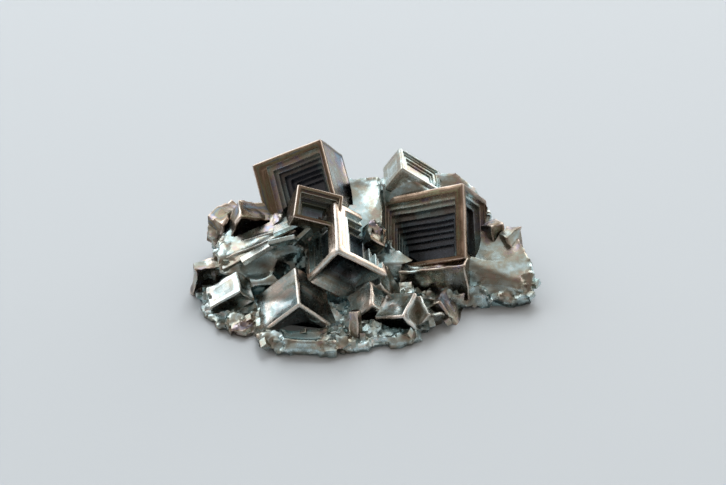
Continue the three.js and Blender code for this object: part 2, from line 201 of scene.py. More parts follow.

# %% [markdown]
# ## The crystals, oldest first
#
# A crystal has a top corner, three turns about x, y and z, the lengths of the three edges that leave
# that corner, and its sunken faces, its `pits`. A face is named by its axis and end, such as z0. It
# is sunk either in terraces (`steps`) or as a smooth `dish`. `rim` is the flat border that is left:
# one width, or four where the pit lies off the middle. `treads` are the four widths of a terrace and
# `rise` is its height. `lean` shares out the slopes of a dish between its sides.
#
# `tint` says how thick the oxide film is, the bronze weight how strongly the rims are stained and
# how strongly the painted shade in the pits and the painted highlight on the edges show, and `rough`
# how crooked the crystal grew. They could be left to chance, and are where no value is given, but
# the large crystals are told apart by just these things.

# %% Crystals at the back
crystals = [
    # back peak, a block with striped faces
    dict(
        at=(4.9, 14.2, 10.5),
        turn=(-81, 54, -170),
        size=(4, 6.8, 5.2),
        tint=0.4,
        bronze_and_shade=0.2,
        pits=dict(
            x0=dict(steps=4, rim=0.5, rise=0.2, treads=(0.32, 0.32, 0.4, 0.4)),
            z0=dict(steps=4, rim=0.5, rise=0.2, treads=(0.32, 0.32, 0.4, 0.4)),
        ),
    ),
    # small crystals along the back
    dict(
        at=(-12, 8.6, 5.4),
        turn=(-134, -3, -58),
        size=(5, 4.6, 4.4),
        pits=dict(x0=dict(steps=2, rim=0.5), y0=dict(steps=2, rim=0.6), z0=dict(steps=2, rim=0.6)),
    ),
    dict(
        at=(-2.6, 12.6, 6.4),
        turn=(-136, -6, -84),
        size=(6, 5.6, 5.2),
        pits=dict(x0=dict(dish=0.7, rim=0.5), y0=dict(steps=3, rim=0.7), z0=dict(steps=3, rim=0.7)),
    ),
    dict(
        at=(4.6, 14, 5),
        turn=(-130, 8, -96),
        size=(5, 4.2, 4),
        pits=dict(x0=dict(steps=1, rim=0.5), y0=dict(dish=0.6, rim=0.4), z0=dict(steps=2, rim=0.6)),
    ),
    dict(
        at=(11.2, 12, 5.6),
        turn=(-132, 4, -106),
        size=(5.4, 5, 4.8),
        pits=dict(x0=dict(steps=2, rim=0.5), y0=dict(steps=2, rim=0.6), z0=dict(dish=0.6, rim=0.5)),
    ),
    dict(
        at=(15.8, 7, 4.6),
        turn=(-130, 2, -132),
        size=(4, 4, 3.8),
        pits=dict(x0=dict(dish=0.5, rim=0.4)),
    ),
    # left back chunk
    dict(
        at=(-18.9, 3.8, 6),
        turn=(-92, 2, 41),
        size=(4.6, 4.2, 2.8),
        tint=0.95,
        bronze_and_shade=0.9,
        rough=0.8,
        pits=dict(z0=dict(dish=0.7, rim=0.4)),
    ),
    # large cube at the back left
    dict(
        at=(-5.6, 10.1, 15),
        turn=(-125, 25, -179),
        size=(10.1, 8.5, 8.6),
        tint=0.95,
        bronze_and_shade=1,
        pits=dict(
            y0=dict(steps=7, rim=(1.1, 0.6, 0.5, 1.9), treads=(0.5, 0.1, 0.25, 0.55)),
            x0=dict(dish=0.4, rim=0.9),
            x1=dict(dish=1.2, rim=1),
            z0=dict(steps=5, rim=1.3),
        ),
    ),
]
print("crystals at the back:", len(crystals))

# %% Crystals on the left
crystals += [
    # block with a dark front on the left shoulder
    dict(
        at=(-15.9, 2.2, 9),
        turn=(-90, 21, 13),
        size=(7, 4.4, 2.8),
        tint=0.9,
        bronze_and_shade=0.9,
        rough=0.7,
        pits=dict(z0=dict(dish=0.8, rim=0.5)),
    ),
    # crystal at the upper end of the long ridge
    dict(
        at=(-8.8, 0.6, 9.6),
        turn=(-131, 2, 70),
        size=(5, 4.4, 4.6),
        pits=dict(x0=dict(steps=2, rim=0.4), y0=dict(dish=0.8, rim=0.4)),
    ),
    # left edge
    dict(
        at=(-21.5, -3, 4.3),
        turn=(-96, 9, 15),
        size=(5, 4.2, 2),
        tint=0.7,
        bronze_and_shade=0.7,
        rough=0.6,
        pits=dict(z0=dict(dish=0.6, rim=0.4)),
    ),
    dict(
        at=(-15.6, -7.3, 4.3),
        turn=(-127, -10, 100),
        size=(3.4, 3, 5),
        tint=0.3,
        rough=0.25,
        pits=dict(x0=dict(dish=0.4, rim=0.4), z0=dict(dish=0.5, rim=0.4)),
    ),
]
print("with the left ones:", len(crystals))

# %% Crystals on the right
crystals += [
    # chips at the back of the right plate
    dict(
        at=(16.6, 2.5, 6.4),
        turn=(-98, 9, 39),
        size=(2.4, 3.2, 2),
        tint=0.9,
        bronze_and_shade=0.8,
        rough=0.6,
        pits=dict(),
    ),
    dict(
        at=(19.1, 1.4, 5.8),
        turn=(-105, -2, 51),
        size=(2.3, 3.6, 2.1),
        tint=0.8,
        bronze_and_shade=0.6,
        rough=0.6,
        pits=dict(),
    ),
    # block below the big right cube
    dict(
        at=(12.9, -4.2, 5.8),
        turn=(-166, 17, 169),
        size=(8.9, 3.6, 5),
        tint=0.7,
        bronze_and_shade=0.6,
        rough=0.25,
        pits=dict(z0=dict(dish=0.5, rim=0.5), y0=dict(dish=0.4, rim=0.4)),
    ),
    # big cube on the right
    dict(
        at=(13.1, 6, 11),
        turn=(-125, 23, 165),
        size=(11.8, 7.5, 10.2),
        tint=0.75,
        bronze_and_shade=1,
        pits=dict(
            y0=dict(steps=9, rise=0.5, rim=(1.2, 0.6, 1.3, 0.45), treads=(0.66, 0.1, 0.26, 0.16)),
            x0=dict(steps=3, rim=0.8),
            z0=dict(steps=5, rim=1.2),
        ),
    ),
]
print("with the right ones:", len(crystals))

# %% [markdown]
# ## The young crystals
#
# The crystals in the middle and at the front stand on the others, so they grew last and cut into
# what is there. The middle one is a roof: two faces slope down from a ridge that runs to the back,
# and a part of its right slope never grew. `gap` gives the corners of that part on the slope's own
# two edges. The blades are crystals that hardly grew in one direction: they are 3 to 4 mm across and
# 0.6 mm thick.

# %% Crystals in the middle and at the front
crystals += [
    # small cube in front of the large back left one
    dict(
        at=(-8.3, 3.2, 13),
        turn=(-158, 18, 0),
        size=(6.2, 4.8, 5),
        tint=0.85,
        bronze_and_shade=1,
        pits=dict(
            z0=dict(steps=4, rim=0.5, rise=0.62, treads=(0.3, 0.3, 0.3, 0.3)),
            y0=dict(steps=2, rim=0.6),
        ),
    ),
    # small crystal between the middle one and the big right cube
    dict(
        at=(0.6, -0.6, 7.2),
        turn=(-147, -14, 88),
        size=(2.6, 3, 3),
        tint=0.9,
        bronze_and_shade=1,
        rough=0.3,
        pits=dict(z0=dict(steps=2, rim=0.5)),
    ),
    # middle crystal, a roof with a ridge running back
    dict(
        at=(-3.2, -6.3, 10),
        turn=(-143, -6, 93),
        size=(8.9, 8.3, 7),
        gap=[(1.5, 9), (1.5, 7.6), (9.5, 3.7), (9.5, 9)],
        tint=0.15,
        bronze_and_shade=0.8,
        bevel=0.45,
        pits=dict(
            x0=dict(dish=1.9, rim=0.6),
            y0=dict(steps=4, rim=(1.8, 1, 0.9, 1)),
            z0=dict(steps=5, rim=(0.85, 1, 1.7, 1)),
        ),
    ),
    # front crystal, the same way up
    dict(
        at=(-8, -11.1, 5.5),
        turn=(-134, -3, 96),
        size=(6.9, 7.8, 7.9),
        tint=0.1,
        bronze_and_shade=0.55,
        pits=dict(
            x0=dict(dish=1.6, rim=0.7),
            y0=dict(dish=1.6, rim=0.5, lean=(0.25, 1.75, 1, 1), curve=1.25),
            z0=dict(dish=1.6, rim=0.8, lean=(0.4, 1.6, 0.9, 0.9)),
        ),
    ),
]
print("with the middle ones:", len(crystals))

# %% The jumble at the front right
crystals += [
    dict(
        at=(2.3, -6.4, 4.6),
        turn=(-125, 4, 80),
        size=(4, 4.4, 4.4),
        rough=0.35,
        pits=dict(x0=dict(dish=0.5, rim=0.4), z0=dict(dish=0.5, rim=0.4)),
    ),
    dict(
        at=(1.3, -9.9, 4.2),
        turn=(-135, -13, 98),
        size=(3.8, 4.4, 4.2),
        bronze_and_shade=0.7,
        rough=0.35,
        pits=dict(x0=dict(dish=0.6, rim=0.3), z0=dict(steps=1, rim=0.5)),
    ),
    dict(
        at=(5.2, -11.2, 3.8),
        turn=(-116, -7, 68),
        size=(4, 4, 4.6),
        rough=0.35,
        pits=dict(x0=dict(dish=0.6, rim=0.3), y0=dict(dish=0.5, rim=0.3)),
    ),
    dict(
        at=(8.2, -10.4, 3.2),
        turn=(-149, -16, 115),
        size=(3, 4.7, 3.3),
        rough=0.4,
        pits=dict(z0=dict(steps=1, rim=0.5)),
    ),
    dict(
        at=(9.8, -7.8, 3),
        turn=(-130, 6, 70),
        size=(4, 4, 4),
        rough=0.4,
        pits=dict(x0=dict(dish=0.4, rim=0.4)),
    ),
    dict(
        at=(-0.7, -11.6, 4.4),
        turn=(-100, 18, 66),
        size=(1.3, 3.8, 1.2),
        tint=0.9,
        bronze_and_shade=0.8,
        rough=0.3,
        pits=dict(),
    ),
]
print("with the jumble:", len(crystals))

# %% Blades between the middle crystal and the long ridge
crystals += [
    dict(at=(-8.2, -0.3, 9.6), turn=(-118, 61, -26), size=(0.6, 3.8, 3.4), pits=dict()),
    dict(at=(-7, -0.2, 9), turn=(-139, 15, -58), size=(0.6, 3.2, 3.2), pits=dict()),
    dict(at=(-5.8, 0.8, 9), turn=(-112, 34, 1), size=(0.6, 3, 3), pits=dict()),
    dict(at=(-8.8, -1.5, 8.6), turn=(-160, 30, -82), size=(0.6, 3.6, 3), pits=dict()),
]
print("all crystals placed by hand:", len(crystals))

# %% [markdown]
# ## A fan of blades
#
# Along the top of the left shoulder long thin blades grew side by side from one end, so that they
# spread like a hand of cards. Each is rolled a little about its own length, and so each catches
# another light.

# %% The fan on the left shoulder
FAN_ROOT = Vector((-8.2, 1.6, 8.2))
FAN_ALONG = Vector((-10.3, -3.2, -3.8)).normalized()
FAN_FACE = Vector((-0.32, -0.1, 0.94))
FAN_SPREAD = (-18, -11, -5, 1, 7)  # degrees, about the face
FAN_ROLL = (18, -8, 12, -10, 8)  # degrees, about the length
FAN_LENGTH = (8, 9.4, 11, 11.4, 9)
BLADE_WIDTH = 1.3
BLADE_THICKNESS = 0.7

blades = []
for spread, roll, length in zip(FAN_SPREAD, FAN_ROLL, FAN_LENGTH):
    face = (FAN_FACE - FAN_FACE.project(FAN_ALONG)).normalized()
    along = FAN_ALONG.copy()
    along.rotate(Quaternion(face, math.radians(spread)))
    face.rotate(Quaternion(along, math.radians(roll)))
    turn = Matrix((along, face.cross(along), face)).transposed().to_euler("XYZ")
    blades.append(
        dict(
            at=FAN_ROOT - face * BLADE_THICKNESS,
            turn=[math.degrees(angle) for angle in turn],
            size=(length, BLADE_WIDTH, BLADE_THICKNESS),
            tint=0.6,
            bronze_and_shade=0.3,
            rough=0.12,
            pits=dict(),
        )
    )
print("blades in the fan:", len(blades))

# %% [markdown]
# ## Repeatable chance
#
# Grown things are irregular, so small crystals, terraces and facets are varied by chance. The
# numbers come from one short rule with a fixed start, so every run gives the same cluster. Smooth
# irregularity comes from `drift`: three readings of a noise field, taken far apart, give a direction.

# %% A repeatable series and a smooth drift
FAR_APART = [Vector((0, 0, 0)), Vector((31.4, 7.7, 19.3)), Vector((-12.9, 43.1, 5.6))]
FACTOR = 1664525
ADDEND = 1013904223
STATES = 2**32


def drift(spot):
    return Vector([noise.noise(spot + shift) for shift in FAR_APART])


def series(seed):
    state = seed
    while True:
        state = (state * FACTOR + ADDEND) % STATES
        yield state / STATES


def between(chance, low, high):
    return low + (high - low) * next(chance)


print("drift at one spot:", [round(part, 3) for part in drift(Vector((1, 2, 3)))])

# %% [markdown]
# ## Grains on the slab's edge
#
# Where the slab met the wall of the pot it is studded with small cubes. They lie on an oval. Each is
# turned roughly the way the nearest large crystal is, and chance decides the rest.

# %% Grains
GRAIN_COUNT = 30
GRAIN_SIZE = (0.8, 1.8)
GRAIN_SHAPE = (0.7, 1)  # shares of the longest edge
GRAIN_TURN = 25  # degrees away from the nearest large crystal
GRAIN_TINT = (0.1, 0.6)
OVAL_MIDDLE = (0, -1)
OVAL_REACH = (20.6, 12.4)
OVAL_BAND = 0.16  # share of the oval's width in which the grains lie
GRAIN_JITTER = 0.4  # share of the way to the next grain
GRAIN_TOP = (0.66, 2.2)  # height of the top corner, lowest and highest
GRAIN_ROUGH = 0.4

grains = []
chance = series(5)
for i in range(GRAIN_COUNT):
    angle = 2 * math.pi * (i + between(chance, -GRAIN_JITTER, GRAIN_JITTER)) / GRAIN_COUNT
    out = 1 - OVAL_BAND * next(chance)
    x = OVAL_MIDDLE[0] + OVAL_REACH[0] * out * math.cos(angle)
    y = OVAL_MIDDLE[1] + OVAL_REACH[1] * out * math.sin(angle)
    z = between(chance, *GRAIN_TOP)
    neighbour = min(crystals, key=lambda one: (Vector(one["at"]) - Vector((x, y, z))).length)
    turn = [degrees + between(chance, -GRAIN_TURN, GRAIN_TURN) for degrees in neighbour["turn"]]
    edge = between(chance, *GRAIN_SIZE)
    size = (edge, edge * between(chance, *GRAIN_SHAPE), edge * between(chance, *GRAIN_SHAPE))
    tint = between(chance, *GRAIN_TINT)
    grains.append(
        dict(at=(x, y, z), turn=turn, size=size, tint=tint, rough=GRAIN_ROUGH, pits=dict())
    )
print("grains:", len(grains))

# %% [markdown]
# ## From points to a solid
#
# Every piece is a closed mesh. Each of its faces remembers which piece it came from in a whole
# number called `piece`. Blender carries that number through all the joining and cutting below, so
# at the end every scrap of surface still knows which crystal it belongs to.

# %% A closed mesh that knows its piece
SLAB = -1


def solid(name, points, faces, piece=SLAB):
    mesh = bpy.data.meshes.new(name)
    mesh.from_pydata([tuple(p) for p in points], [], faces)
    numbers = mesh.attributes.new("piece", "INT", "FACE")
    numbers.data.foreach_set("value", [piece] * len(mesh.polygons))
    made = bpy.data.objects.new(name, mesh)
    bpy.context.scene.collection.objects.link(made)
    return made


def hull(name, points):
    shape = bmesh.new()
    for point in points:
        shape.verts.new(point)
    bmesh.ops.convex_hull(shape, input=shape.verts)
    loose = [v for v in shape.verts if not v.link_faces]
    bmesh.ops.delete(shape, geom=loose, context="VERTS")
    shape.verts.index_update()
    points = [v.co.copy() for v in shape.verts]
    faces = [[v.index for v in face.verts] for face in shape.faces]
    shape.free()
    return solid(name, points, faces)


def settled(thing):
    """The mesh of an object after its modifiers."""
    graph = bpy.context.evaluated_depsgraph_get()
    return bpy.data.meshes.new_from_object(thing.evaluated_get(graph))


def drop(*things):
    for thing in things:
        bpy.data.objects.remove(thing)


sample = hull("sample", [(0, 0, 0), (1, 0, 0), (0, 1, 0), (0, 0, 1)])
print("faces of a hull round four corners:", len(sample.data.polygons))
drop(sample)

# %% [markdown]
# ## The slab as one skin
#
# The ledges, shards and webs overlap. A voxel remesh melts them into one even skin of small squares,
# which is what a freezing melt does too: corners come out slightly soft, and the skin has enough
# points for the rough surface that follows.

# %% Corners of a ledge, balls and cuts
ROOT_DEPTH = -1  # below the floor, to be cut off flat at the end
FOOT = 0.7  # height of a ledge's widest part
UNDER_INSET = 0.14  # shares of the way to the ledge's middle
OVER_INSET = 0.12


def ledge_corners(outline, top, lean):
    middle = Vector((*np.mean(outline, axis=0), 0))
    corners = []
    for x, y in outline:
        corner = Vector((x, y, 0))
        under = corner.lerp(middle, UNDER_INSET)
        under.z = ROOT_DEPTH
        over = corner.lerp(middle, OVER_INSET)
        over.z = top + lean[0] * (over.x - middle.x) + lean[1] * (over.y - middle.y)
        corners += [under, Vector((x, y, FOOT)), over]
    return corners


def ball(at, radius):
    shape = bmesh.new()
    bmesh.ops.create_icosphere(shape, subdivisions=4, radius=1)
    shape.verts.index_update()
    points = [Vector(at) + Vector([c * r for c, r in zip(v.co, radius)]) for v in shape.verts]
    faces = [[v.index for v in face.verts] for face in shape.faces]
    shape.free()
    return solid("hollow", points, faces)


def melted(thing, voxel):
    melt = thing.modifiers.new("melt", "REMESH")
    melt.mode = "VOXEL"
    melt.voxel_size = voxel


def cut(thing, other, operation="DIFFERENCE"):
    step = thing.modifiers.new(operation.lower(), "BOOLEAN")
    step.solver = "MANIFOLD"
    step.operation = operation
    step.object = other


print("corners of the first ledge:", len(ledge_corners(**ledges[0])))

# %% Slab skin
VOXEL = 0.28

lumps = [hull("ledge", ledge_corners(**one)) for one in ledges]
lumps += [hull("shard", corners) for corners in shards]
with bpy.context.temp_override(active_object=lumps[0], selected_editable_objects=lumps):
    bpy.ops.object.join()
slab = lumps[0]
balls = [ball(**one) for one in hollows]
melted(slab, VOXEL)
for one in balls:
    cut(slab, one)
melted(slab, VOXEL)
soften = slab.modifiers.new("soften", "SMOOTH")
soften.iterations = 3
slab.data = settled(slab)
slab.modifiers.clear()
drop(*balls)
numbers = slab.data.attributes.get("piece") or slab.data.attributes.new("piece", "INT", "FACE")
numbers.data.foreach_set("value", [SLAB] * len(slab.data.polygons))
print("slab squares:", len(slab.data.polygons))

# %% [markdown]
# ## Broken and crystalline skin
#
# Bismuth breaks along flat planes, and the rough parts of the slab are a crowd of small facets with
# sharp ridges between them. A displacement by noise would look like stone, so space is divided into
# cells around scattered seeds instead. Inside a cell the skin is tilted one way, and towards the next
# cell it rises to a ridge. Cells 2.3 mm wide make the facets and cells 0.9 mm wide roughen them. The
# webs, the right plate and parts of the left shoulder froze smoothly, so the facets fade out there.

# %% Facets
CELL_WIDTHS = (2.3, 0.9)
TILT_HEIGHTS = (1.0, 0.3)
RIDGE_HEIGHTS = (0.5, 0.12)
RIDGE_WIDTHS = (0.8, 0.35)
CELL_STARTS = (11, 13)  # of the two series of chance
calm_places = [  # middle and reach
    ((-0.6, 6, 7.4), 6.5),
    ((17.6, -0.6, 4.4), 5.6),
    ((-13.7, -3.4, 4), 4.6),
    ((-7.4, -12.6, 1.6), 3),
    ((6, 11, 7.6), 5.5),
    ((13, 10.4, 7), 5),
    ((5, -1, 5), 4),
    ((-14, 0, 6), 4.5),
]
CALM_CORE = 0.6  # share of the reach within which the skin is quite smooth
MOST_SEEDS = 200000  # room that the search tree keeps

slab_points = np.array([v.co for v in slab.data.vertices])
slab_normals = np.array([v.normal for v in slab.data.vertices])


def cells_of(width, start):
    """Scattered seeds, one for each cube of that width: their tree, and a tilt for each."""
    chance = series(start)
    tree = kdtree.KDTree(MOST_SEEDS)
    tilts = []
    low, high = slab_points.min(0) - width, slab_points.max(0) + width
    for x in np.arange(low[0], high[0], width):
        for y in np.arange(low[1], high[1], width):
            for z in np.arange(low[2], high[2], width):
                place = Vector([c + between(chance, 0, width) for c in (x, y, z)])
                tree.insert(place, len(tilts))
                tilts.append(Vector([between(chance, -1, 1) for _ in range(3)]))
    tree.balance()
    return tree, tilts


def roughness_at(point):
    """1 where the skin is rough, 0 in the middle of a smooth place."""
    rough = 1.0
    for middle, reach in calm_places:
        away = (point - Vector(middle)).length / reach
        rough = min(rough, max(0.0, min(1.0, (away - CALM_CORE) / (1 - CALM_CORE))))
    return rough


print("smooth points:", sum(roughness_at(Vector(point)) == 0 for point in slab_points))

# %% Push the skin out along the facets
moved = [Vector(point) for point in slab_points]
fields = [cells_of(width, start) for width, start in zip(CELL_WIDTHS, CELL_STARTS)]
for (tree, tilts), width, tilt_height, ridge_height, ridge_width in zip(
    fields, CELL_WIDTHS, TILT_HEIGHTS, RIDGE_HEIGHTS, RIDGE_WIDTHS
):
    for number, normal in enumerate(slab_normals):
        point = Vector(slab_points[number])
        (place, seed, near), (_, _, far) = tree.find_n(point, 2)
        inside = min(1, (far - near) / ridge_width)
        height = tilts[seed].dot(point - place) / width * tilt_height * inside
        height += ridge_height * (1 - inside) ** 2
        moved[number] += Vector(normal) * height * roughness_at(point)
slab.data.vertices.foreach_set("co", np.array(moved).ravel())
slab.data.update()
print("facet cells:", [len(field[1]) for field in fields])

# %% [markdown]
# ## Rings that sink a face
#
# A hopper face is a set of square rings, one inside the other: along the rim, down a wall, over a
# tread, down the next wall, to the floor. Each ring has the same number of points, so that two rings
# join with plain four-sided faces. `ring_of` draws one ring, and `bent` rounds its corners by pulling
# any point near a corner onto a circle. The same rule in three directions bevels the whole cube.

# %% Rings
SPACING = 0.62  # distance between points along an edge
MOST_ROUND = 0.49  # share of a ring's shorter side that a rounded corner may take
TINY = 1e-9


def bent(points, low, high, radius):
    near = np.clip(points, low + radius, high - radius)
    away = points - near
    length = np.linalg.norm(away, axis=1, keepdims=True)
    corner = (np.abs(away) > TINY).sum(axis=1, keepdims=True) > 1
    return np.where(corner, near + away * radius / np.maximum(length, TINY), points)


def stops(length, bevel):
    count = max(1, round((length - 2 * bevel) / SPACING))
    inner = np.linspace(bevel, length - bevel, count + 1)
    return np.concatenate([[0], inner, [length]]) / length


def ring_of(low, high, across, along, radius):
    a = low[0] + (high[0] - low[0]) * across
    b = low[1] + (high[1] - low[1]) * along
    sides = [(x, low[1]) for x in a[:-1]]
    sides += [(high[0], y) for y in b[:-1]]
    sides += [(x, high[1]) for x in a[:0:-1]]
    sides += [(low[0], y) for y in b[:0:-1]]
    radius = min(radius, MOST_ROUND * (high - low).min())
    return bent(np.array(sides), low, high, radius)


print("points along a 10 mm edge:", len(stops(10, 0.3)))

# %% [markdown]
# ## Terraces and dishes
#
# A pit is a list of levels: how far the ring is drawn in on its four sides, how deep it lies, and
# how round its corners are. The treads and rises of real terraces are uneven, so chance moves each
# one a little. The lip of every wall has a fine chamfer, because that is what catches the light.

# %% Levels of a terraced pit
RIM = 1.0
TREAD = 0.62
RISE = 0.55
PIT_FLOOR = 0.9  # the narrowest floor that a terrace may leave
LIP = 0.07  # width of the chamfer
WALL_ROUNDS = (0.12, 0.1, 0.06)  # how round the corners are above the lip, below it and at the foot
UNEVEN = 0.16  # share of a tread or rise that chance may add or take
WOBBLE = 0.04


def terrace_levels(pit, spans, chance):
    rim = np.array(pit.get("rim", RIM))
    rise = pit.get("rise", RISE)
    treads = np.array(pit.get("treads", (TREAD,) * 4))
    levels = []
    depth = 0.0
    for step in range(pit["steps"]):
        shift = between(chance, -UNEVEN, UNEVEN) if step else 0
        wobble = np.array([between(chance, -WOBBLE, WOBBLE) for _ in range(4)])
        sides = rim + treads * (step + shift) + wobble
        if min(spans[0] - sides[:2].sum(), spans[1] - sides[2:].sum()) < PIT_FLOOR:
            break
        below = rise * (step + 1 + between(chance, -UNEVEN, UNEVEN))
        places = [(sides - LIP, depth), (sides, depth + LIP), (sides, below)]
        levels += [(*place, round_off) for place, round_off in zip(places, WALL_ROUNDS)]
        depth = below
    return levels


print("rings of three terraces:", len(terrace_levels(dict(steps=3), (10, 10), series(1))))

# %% Levels of a dish
CURVE = 2.1  # 1 is a straight slope, more is round
DISH_RIM = 0.6  # share of the rim that stays flat
DISH_REACH = 0.42  # share of the face's shorter side, where the floor starts
DISH_DEPTH = 1.2  # times the named depth is where the floor lies
DISH_RINGS = (0.01, 0.08, 0.17, 0.28, 0.41, 0.56, 0.74, 1)  # shares of the way to the floor
DISH_ROUNDS = (0.1, 0.4)  # how round the corners are: at the rim, and what the shorter side adds


def dish_levels(pit, spans):
    rim = DISH_RIM * pit.get("rim", RIM)
    reach = (DISH_REACH * min(spans) - rim) * np.array(pit.get("lean", (1, 1, 1, 1)))
    floor = DISH_DEPTH * pit["dish"]
    levels = [(np.full(4, rim - LIP), 0, DISH_ROUNDS[0])]
    for share in DISH_RINGS:
        depth = LIP + (floor - LIP) * (1 - (1 - share) ** pit.get("curve", CURVE))
        round_off = DISH_ROUNDS[0] + DISH_ROUNDS[1] * min(spans) * share
        levels.append((rim + reach * share, depth, round_off))
    return levels


def levels_of(pit, spans, chance):
    if "dish" in pit:
        return dish_levels(pit, spans)
    return terrace_levels(pit, spans, chance)


print("rings of a dish:", len(dish_levels(dict(dish=1), (10, 10))))

# %% [markdown]
# ## One face of a crystal
#
# A face starts as a ring on the cube's own edges, has two close rings for the bevel, then goes down
# its levels if it is sunk, and is closed by an even grid. The grid is stretched between the points
# of the last ring, so it also fits an oval floor.

# %% One face
BEVEL_START = 0.4  # share of the bevel, where its first ring lies


def filled(ring, count_a, count_b):
    """A grid of points whose border is the ring."""
    bottom = ring[: count_a + 1]
    right = ring[count_a : count_a + count_b + 1]
    top = ring[count_a + count_b : 2 * count_a + count_b + 1][::-1]
    left = np.vstack([ring[2 * count_a + count_b :], ring[:1]])[::-1]
    u = np.linspace(0, 1, count_a + 1)[:, None, None]
    v = np.linspace(0, 1, count_b + 1)[None, :, None]
    edges = (1 - v) * bottom[:, None] + v * top[:, None] + (1 - u) * left[None] + u * right[None]
    corners = (1 - u) * ((1 - v) * bottom[0] + v * top[0]) + u * ((1 - v) * bottom[-1] + v * top[-1])
    return edges - corners


def face_skin(size, bevel, face, levels):
    """Points and four-sided faces of one side of a crystal, sunk by the given levels."""
    axis = "xyz".index(face[0])
    a, b = (axis + 1) % 3, (axis + 2) % 3
    spans = size[[a, b]]
    across, along = stops(size[a], bevel), stops(size[b], bevel)
    rounds = [(np.zeros(4), 0, 0), (np.full(4, bevel * BEVEL_START), 0, 0), (np.full(4, bevel), 0, 0)]
    points, faces = [], []
    count = 2 * (len(across) - 1 + len(along) - 1)
    for sides, depth, radius in rounds + levels:
        low = np.array([sides[0], sides[2]])
        high = spans - np.array([sides[1], sides[3]])
        flat = ring_of(low, high, across, along, radius)
        start = len(points)
        points += [(x, y, depth) for x, y in flat]
        if start:
            for k in range(count):
                after = (k + 1) % count
                faces.append((start - count + k, start - count + after, start + after, start + k))
    grid = filled(flat, len(across) - 1, len(along) - 1)
    start = len(points)
    points += [(x, y, depth) for x, y in grid.reshape(-1, 2)]
    rows = len(along)
    for i in range(len(across) - 1):
        for j in range(rows - 1):
            corner = start + i * rows + j
            faces.append((corner, corner + rows, corner + rows + 1, corner + 1))
    points = np.array(points)
    placed = np.zeros_like(points)
    placed[:, [a, b]] = points[:, :2]
    placed[:, axis] = points[:, 2] if face[1] == "0" else size[axis] - points[:, 2]
    if face[1] == "0":
        faces = [f[::-1] for f in faces]
    return placed, faces


print("squares on a plain 5 mm face:", len(face_skin(np.full(3, 5.0), 0.2, "z0", [])[1]))

# %% [markdown]
# ## A whole crystal
#
# Six faces meet on the cube's edges. Points that fall on the same spot are welded, and the edges are
# bevelled: the large cubes have softer edges than the small sharp ones.

# %% A crystal's skeleton
BEVEL_SHARE = 0.05  # of the shortest edge
LEAST_BEVEL = 0.04
MOST_BEVEL = 0.3
WELD = 0.001  # points that lie closer than this become one
CROOKED_WIDTHS = (2.6, 0.9)  # mm, of the bends in a crystal that grew crooked
CROOKED_FINE = 0.4  # share of the narrow bends


def bevel_of(crystal):
    return crystal.get("bevel", min(BEVEL_SHARE * min(crystal["size"]) + LEAST_BEVEL, MOST_BEVEL))


def place_of(crystal):
    turn = Euler([math.radians(t) for t in crystal["turn"]], "XYZ")
    return Matrix.Translation(crystal["at"]) @ turn.to_matrix().to_4x4()


def moved_by(matrix, points):
    matrix = np.array(matrix)
    return points @ matrix[:3, :3].T + matrix[:3, 3]


def skeleton_of(crystal, sunk, piece):
    size = np.array(crystal["size"], float)
    bevel = bevel_of(crystal)
    points, faces = np.zeros((0, 3)), []
    for face in ("x0", "x1", "y0", "y1", "z0", "z1"):
        more, more_faces = face_skin(size, bevel, face, sunk.get(face, []))
        faces += [[k + len(points) for k in f] for f in more_faces]
        points = np.vstack([points, more])
    made = solid("crystal", points, faces, piece)
    shape = bmesh.new()
    shape.from_mesh(made.data)
    bmesh.ops.remove_doubles(shape, verts=shape.verts, dist=WELD)
    shape.to_mesh(made.data)
    shape.free()
    points = np.array([v.co for v in made.data.vertices])
    points = moved_by(place_of(crystal), bent(points, np.zeros(3), size, bevel))
    if "rough" in crystal:
        # a rough crystal is bent and bulged along a smooth drift
        for number, point in enumerate(points):
            spot = Vector(point)
            wide, narrow = [drift(spot / width) for width in CROOKED_WIDTHS]
            wander = wide + narrow * CROOKED_FINE
            points[number] += np.array(wander) * crystal["rough"]
    made.data.vertices.foreach_set("co", points.ravel())
    made.data.update()
    return made


print("bevels in mm:", sorted({round(bevel_of(crystal), 2) for crystal in crystals}))

# %% [markdown]
# ## Room for the pits
#
# A young crystal grows into and over the older ones, and nothing old may fill its pits. So each pit
# has a plug of the same shape, a hair larger, which is cut from the older metal before the new
# crystal is joined.

# %% Plugs that clear the pits
CLEARANCE = 0.05  # between a plug and its pit
MOUTH = 0.4  # how far a plug stands out of its pit


def plugs_of(crystal, sunk, piece):
    size = np.array(crystal["size"], float)
    points, faces = [], []
    for face, levels in sunk.items():
        axis = "xyz".index(face[0])
        a, b = (axis + 1) % 3, (axis + 2) % 3
        first = len(points)
        rounds = [(levels[0][0], -MOUTH - CLEARANCE, 0)] + levels[1:]
        for sides, depth, _ in rounds:
            sides = sides - CLEARANCE
            depth = depth + CLEARANCE
            for far_a, far_b in ((False, False), (True, False), (True, True), (False, True)):
                point = np.zeros(3)
                point[a] = size[a] - sides[1] if far_a else sides[0]
                point[b] = size[b] - sides[3] if far_b else sides[2]
                point[axis] = depth if face[1] == "0" else size[axis] - depth
                points.append(point)
        shell = [[first + k for k in (3, 2, 1, 0)]]
        for level in range(len(rounds) - 1):
            start = first + 4 * level
            for k in range(4):
                after = (k + 1) % 4
                shell.append([start + k, start + after, start + 4 + after, start + 4 + k])
        last = first + 4 * (len(rounds) - 1)
        shell.append([last + k for k in range(4)])
        faces += [f[::-1] for f in shell] if face[1] == "1" else shell
    return solid("plug", moved_by(place_of(crystal), np.array(points)), faces, piece)


